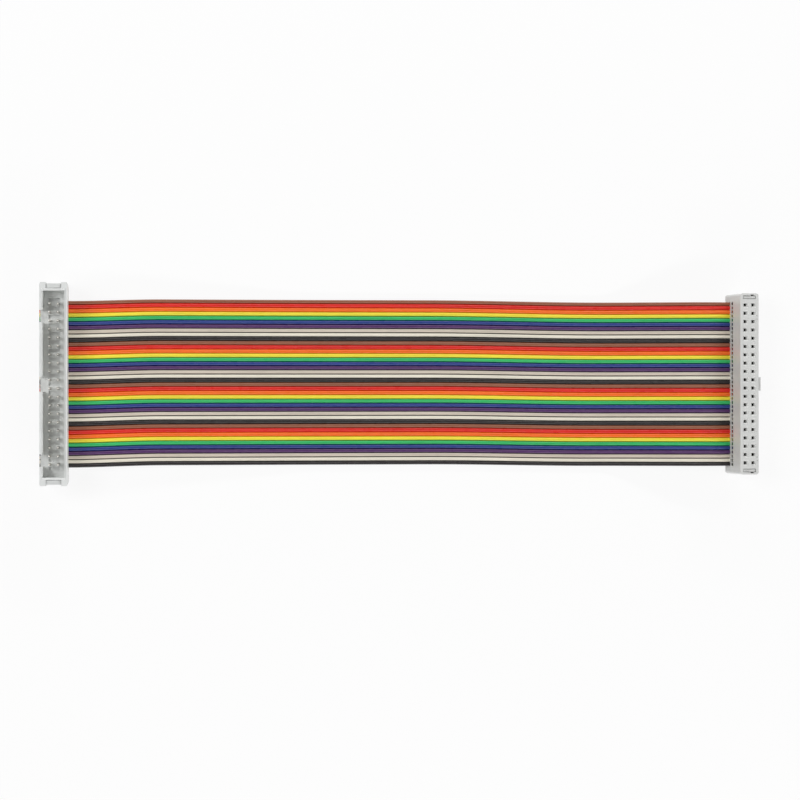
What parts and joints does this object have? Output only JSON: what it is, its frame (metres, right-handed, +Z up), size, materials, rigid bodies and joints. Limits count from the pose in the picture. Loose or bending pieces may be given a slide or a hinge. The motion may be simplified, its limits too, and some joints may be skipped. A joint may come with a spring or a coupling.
{
  "type": "ribbon cable",
  "caption": "Flat rainbow ribbon cable with a shrouded male box header crimped to one end and a keyed female socket crimped to the other.",
  "frame": {"origin": "on the table, under the middle of the cable's box", "axes": "+X along the cable from the male header to the female socket, +Y across the ribbon towards the first brown wire, +Z up from the table, the way both connectors' mating faces look"},
  "size_m": [0.2196, 0.061, 0.0144],
  "materials": {
    "wire_brown": "satin flexible insulation",
    "wire_red": "satin flexible insulation",
    "wire_orange": "satin flexible insulation",
    "wire_yellow": "satin flexible insulation",
    "wire_green": "satin flexible insulation",
    "wire_blue": "satin flexible insulation",
    "wire_violet": "satin flexible insulation",
    "wire_grey": "satin flexible insulation",
    "wire_white": "satin flexible insulation",
    "wire_black": "satin flexible insulation",
    "conductor": "drawn copper strands",
    "connector": "moulded, lightly textured",
    "contact": "stamped and tin plated"
  },
  "bodies": {
    "root": {"wire_01_brown": "wire_brown", "wire_02_red": "wire_red", "wire_03_orange": "wire_orange", "wire_04_yellow": "wire_yellow", "wire_05_green": "wire_green", "wire_06_blue": "wire_blue", "wire_07_violet": "wire_violet", "wire_08_grey": "wire_grey", "wire_09_white": "wire_white", "wire_10_black": "wire_black", "wire_11_brown": "wire_brown", "wire_12_red": "wire_red", "wire_13_orange": "wire_orange", "wire_14_yellow": "wire_yellow", "wire_15_green": "wire_green", "wire_16_blue": "wire_blue", "wire_17_violet": "wire_violet", "wire_18_grey": "wire_grey", "wire_19_white": "wire_white", "wire_20_black": "wire_black", "wire_21_brown": "wire_brown", "wire_22_red": "wire_red", "wire_23_orange": "wire_orange", "wire_24_yellow": "wire_yellow", "wire_25_green": "wire_green", "wire_26_blue": "wire_blue", "wire_27_violet": "wire_violet", "wire_28_grey": "wire_grey", "wire_29_white": "wire_white", "wire_30_black": "wire_black", "wire_31_brown": "wire_brown", "wire_32_red": "wire_red", "wire_33_orange": "wire_orange", "wire_34_yellow": "wire_yellow", "wire_35_green": "wire_green", "wire_36_blue": "wire_blue", "wire_37_violet": "wire_violet", "wire_38_grey": "wire_grey", "wire_39_white": "wire_white", "wire_40_black": "wire_black", "conductors": "conductor", "header_body": "connector", "header_cover": "connector", "socket_body": "connector", "socket_cover": "connector", "header_contacts_odd": "contact", "header_contacts_even": "contact", "socket_contacts_odd": "contact", "socket_contacts_even": "contact"}
  },
  "joints": []
}
